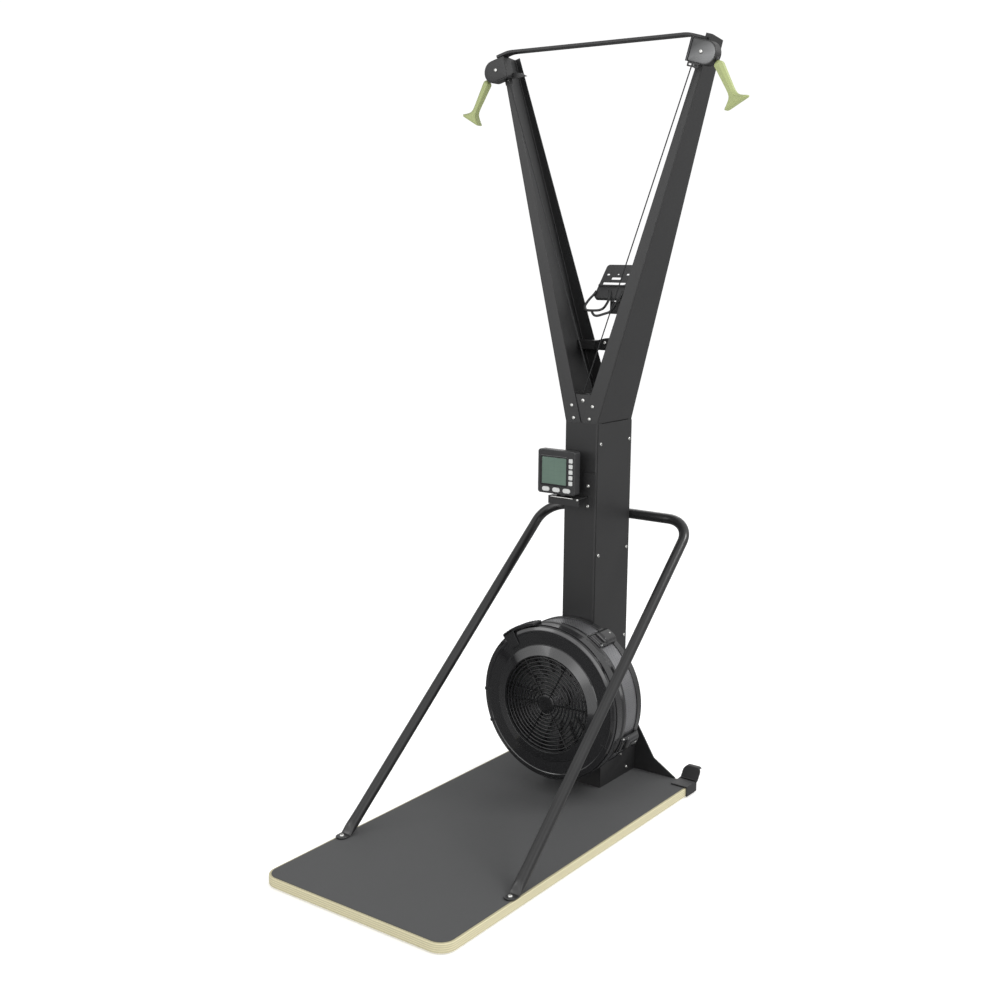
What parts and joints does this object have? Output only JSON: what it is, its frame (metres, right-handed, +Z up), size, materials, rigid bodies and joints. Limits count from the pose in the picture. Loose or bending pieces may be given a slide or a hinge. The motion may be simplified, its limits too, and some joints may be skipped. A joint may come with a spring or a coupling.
{
  "type": "ski trainer machine",
  "caption": "Standing ski trainer: Y-shaped black mast on a plywood deck, pull-cord handles over head pulleys, caged flywheel fan, stay hoop, monitor and device cradle.",
  "frame": {"origin": "middle of the machine's footprint at floor level", "axes": "+Z up; the user stands on the -Y side of the mast, on the deck; +X is the user's right"},
  "size_m": [0.9196, 1.2549, 2.1696],
  "materials": {
    "wood_core": "clear-varnished plywood",
    "deck_grey": "fine-grained non-slip skin",
    "floor_rubber": "matte",
    "black_plastic": "satin",
    "black_coat": "satin powder coat",
    "grey_plate": "satin metal sheen",
    "zinc": "bright zinc plate",
    "lime_rubber": "satin moulded grip",
    "cord": "braided",
    "bare_alloy": "satin",
    "bright_steel": "ground",
    "flywheel_steel": "dark satin",
    "gloss_black": "glossy moulded",
    "display": "liquid crystal panel under clear film",
    "button_grey": "satin"
  },
  "bodies": {
    "frame": {"board": "wood_core", "deck_skin": "deck_grey", "floor_pad": "floor_rubber", "rear_hook_right": "black_plastic", "rear_hook_left": "black_plastic", "exit_guide_right": "black_plastic", "exit_guide_left": "black_plastic", "recoil_case": "black_plastic", "fan_grille": "black_plastic", "column_shell": "black_coat", "side_cover": "black_coat", "base_shoe": "black_coat", "rear_plate": "black_coat", "arm_right": "black_coat", "arm_left": "black_coat", "junction_frame": "black_coat", "gusset_plate": "black_coat", "cross_brace": "black_coat", "top_strap": "black_coat", "head_box_right": "black_coat", "head_box_left": "black_coat", "head_plate_left": "black_coat", "stay_hoop": "black_coat", "stay_saddle": "black_coat", "monitor_bracket": "black_coat", "cradle_arm": "black_coat", "head_plate_right": "grey_plate", "head_bolt_right": "zinc", "head_bolt_left": "zinc", "idler_bolt": "zinc", "drive_cord_right": "cord", "drive_cord_left": "cord", "fan_band": "bare_alloy", "bearing_housing": "bare_alloy", "fan_front_shell": "gloss_black", "fan_rear_shell": "gloss_black"},
    "flywheel": {"flywheel": "flywheel_steel", "drive_shaft": "bright_steel"},
    "damper": {"damper_ring": "black_plastic"},
    "handle_left": {"handle_left": "lime_rubber"},
    "handle_right": {"handle_right": "lime_rubber"},
    "head_pulley_left": {"head_pulley_left": "black_plastic"},
    "head_pulley_right": {"head_pulley_right": "black_plastic"},
    "idler_left": {"idler_left": "black_plastic"},
    "idler_right": {"idler_right": "black_plastic"},
    "drum_left": {"cord_drum_left": "bare_alloy"},
    "drum_right": {"cord_drum_right": "bare_alloy"},
    "monitor": {"monitor_case": "black_plastic", "lcd_panel": "display"},
    "cradle": {"cradle_tray": "black_plastic", "cradle_wire": "black_coat"},
    "square_button_1": {"square_button_1": "button_grey"},
    "square_button_2": {"square_button_2": "button_grey"},
    "square_button_3": {"square_button_3": "button_grey"},
    "square_button_4": {"square_button_4": "button_grey"},
    "square_button_5": {"square_button_5": "button_grey"},
    "oval_button_1": {"oval_button_1": "button_grey"},
    "oval_button_2": {"oval_button_2": "button_grey"},
    "oval_button_3": {"oval_button_3": "button_grey"}
  },
  "joints": [
    {"name": "flywheel_spin", "type": "hinge", "parent": "frame", "child": "flywheel", "pos_m": [0, 0.3065, 0.315], "axis": [0, 1, 0], "continuous": true},
    {"name": "damper_turn", "type": "hinge", "parent": "frame", "child": "damper", "pos_m": [0, 0.2445, 0.315], "axis": [0, 1, 0], "range_deg": [-15, 15]},
    {"name": "monitor_tilt", "type": "hinge", "parent": "frame", "child": "monitor", "pos_m": [-0.044, 0.3485, 0.916], "axis": [1, 0, 0], "range_deg": [-10, 8]},
    {"name": "cradle_tilt", "type": "hinge", "parent": "frame", "child": "cradle", "pos_m": [0, 0.54, 1.4823], "axis": [1, 0, 0], "range_deg": [-15, 15]},
    {"name": "handle_right_pull", "type": "slide", "parent": "frame", "child": "handle_right", "axis": [0.4848, 0, -0.8746], "range_m": [0, 1], "stiffness_N_per_m": 15, "springref_m": -1},
    {"name": "head_pulley_right_spin", "type": "hinge", "parent": "frame", "child": "head_pulley_right", "pos_m": [0.3325, 0.4106, 2.117], "axis": [0, 1, 0], "range_deg": [0, 2454]},
    {"name": "idler_right_spin", "type": "hinge", "parent": "frame", "child": "idler_right", "pos_m": [0, 0.3985, 1.1826], "axis": [0, 1, 0], "range_deg": [0, 3376]},
    {"name": "drum_right_spin", "type": "hinge", "parent": "frame", "child": "drum_right", "pos_m": [0, 0.3985, 0.315], "axis": [0, 1, 0], "range_deg": [0, 2610]},
    {"name": "handle_left_pull", "type": "slide", "parent": "frame", "child": "handle_left", "axis": [-0.4848, 0, -0.8746], "range_m": [0, 1], "stiffness_N_per_m": 15, "springref_m": -1},
    {"name": "head_pulley_left_spin", "type": "hinge", "parent": "frame", "child": "head_pulley_left", "pos_m": [-0.3325, 0.4106, 2.117], "axis": [0, 1, 0], "range_deg": [-2454, 0]},
    {"name": "idler_left_spin", "type": "hinge", "parent": "frame", "child": "idler_left", "pos_m": [0, 0.4165, 1.1826], "axis": [0, 1, 0], "range_deg": [-3376, 0]},
    {"name": "drum_left_spin", "type": "hinge", "parent": "frame", "child": "drum_left", "pos_m": [0, 0.4165, 0.315], "axis": [0, 1, 0], "range_deg": [0, 2610]},
    {"name": "square_button_1_press", "type": "slide", "parent": "monitor", "child": "square_button_1", "axis": [0, 1, 0], "range_m": [0, 0.0015], "stiffness_N_per_m": 400, "springref_m": -0.001},
    {"name": "square_button_2_press", "type": "slide", "parent": "monitor", "child": "square_button_2", "axis": [0, 1, 0], "range_m": [0, 0.0015], "stiffness_N_per_m": 400, "springref_m": -0.001},
    {"name": "square_button_3_press", "type": "slide", "parent": "monitor", "child": "square_button_3", "axis": [0, 1, 0], "range_m": [0, 0.0015], "stiffness_N_per_m": 400, "springref_m": -0.001},
    {"name": "square_button_4_press", "type": "slide", "parent": "monitor", "child": "square_button_4", "axis": [0, 1, 0], "range_m": [0, 0.0015], "stiffness_N_per_m": 400, "springref_m": -0.001},
    {"name": "square_button_5_press", "type": "slide", "parent": "monitor", "child": "square_button_5", "axis": [0, 1, 0], "range_m": [0, 0.0015], "stiffness_N_per_m": 400, "springref_m": -0.001},
    {"name": "oval_button_1_press", "type": "slide", "parent": "monitor", "child": "oval_button_1", "axis": [0, 1, 0], "range_m": [0, 0.0015], "stiffness_N_per_m": 400, "springref_m": -0.001},
    {"name": "oval_button_2_press", "type": "slide", "parent": "monitor", "child": "oval_button_2", "axis": [0, 1, 0], "range_m": [0, 0.0015], "stiffness_N_per_m": 400, "springref_m": -0.001},
    {"name": "oval_button_3_press", "type": "slide", "parent": "monitor", "child": "oval_button_3", "axis": [0, 1, 0], "range_m": [0, 0.0015], "stiffness_N_per_m": 400, "springref_m": -0.001}
  ],
  "couplings": [
    {"joint": "head_pulley_right_spin", "follows": "handle_right_pull", "rad_per_m": 42.735},
    {"joint": "idler_right_spin", "follows": "handle_right_pull", "rad_per_m": 58.824},
    {"joint": "drum_right_spin", "follows": "handle_right_pull", "rad_per_m": 45.455},
    {"joint": "head_pulley_left_spin", "follows": "handle_left_pull", "rad_per_m": -42.735},
    {"joint": "idler_left_spin", "follows": "handle_left_pull", "rad_per_m": -58.824},
    {"joint": "drum_left_spin", "follows": "handle_left_pull", "rad_per_m": 45.455}
  ]
}
